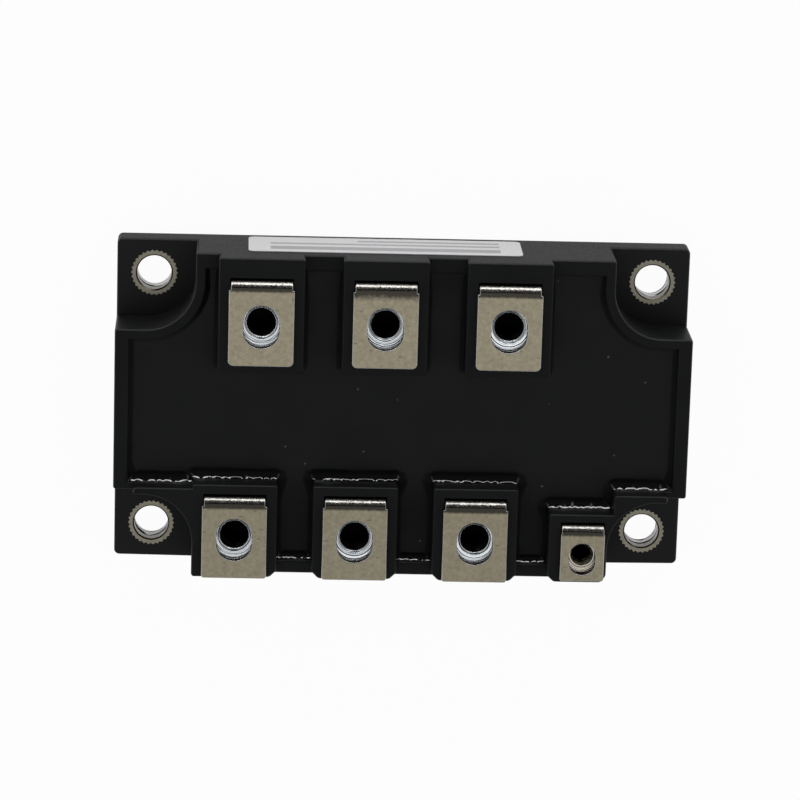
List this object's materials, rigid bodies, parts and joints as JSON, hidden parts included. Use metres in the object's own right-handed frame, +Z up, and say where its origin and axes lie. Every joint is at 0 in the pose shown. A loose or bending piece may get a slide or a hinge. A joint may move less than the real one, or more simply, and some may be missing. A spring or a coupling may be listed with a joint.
{
  "type": "bridge rectifier module",
  "caption": "Low black potted power module with bent screw terminals along both long sides, a small gate terminal and sleeved mounting ears; rectifies mains current.",
  "frame": {"origin": "centre of the mounting plane under the base plate", "axes": "+X along the module to the gate terminal's end, +Y to the long wall with the label, +Z up to the terminal face"},
  "size_m": [0.108, 0.0621, 0.022],
  "materials": {
    "case": "fine matte moulding",
    "potting": "cast resin, dull with glossy edges",
    "terminal_metal": "nickel plate",
    "sleeve_metal": "nickel plate, knurled",
    "base_metal": "nickel-plated copper",
    "nut_metal": "bright zinc plate",
    "copper": "bare copper",
    "ceramic": "unglazed",
    "silicon": "metallised",
    "gel": "clear soft gel",
    "label": "blank satin sticker"
  },
  "bodies": {
    "root": {"case": "case", "base_plate": "base_metal", "sleeve_rear_left": "sleeve_metal", "sleeve_rear_right": "sleeve_metal", "sleeve_front_left": "sleeve_metal", "sleeve_front_right": "sleeve_metal", "terminal_ac_left": "terminal_metal", "terminal_ac_middle": "terminal_metal", "terminal_ac_right": "terminal_metal", "terminal_minus": "terminal_metal", "terminal_plus": "terminal_metal", "terminal_switched_plus": "terminal_metal", "terminal_gate": "terminal_metal", "nut_ac_left": "nut_metal", "nut_ac_middle": "nut_metal", "nut_ac_right": "nut_metal", "nut_minus": "nut_metal", "nut_plus": "nut_metal", "nut_switched_plus": "nut_metal", "nut_gate": "nut_metal", "potting": "potting", "silicone_gel": "gel", "ceramic_substrate": "ceramic", "track_ac_left": "copper", "track_ac_middle": "copper", "track_ac_right": "copper", "track_minus": "copper", "track_plus": "copper", "track_switched_plus": "copper", "track_gate": "copper", "upper_diode_left": "silicon", "upper_diode_middle": "silicon", "upper_diode_right": "silicon", "lower_diode_left": "silicon", "lower_diode_middle": "silicon", "lower_diode_right": "silicon", "thyristor_chip": "silicon", "upper_strap_left": "copper", "upper_strap_middle": "copper", "upper_strap_right": "copper", "lower_strap_left": "copper", "lower_strap_middle": "copper", "lower_strap_right": "copper", "cathode_strap": "copper", "gate_lead": "copper", "label": "label"}
  },
  "joints": []
}
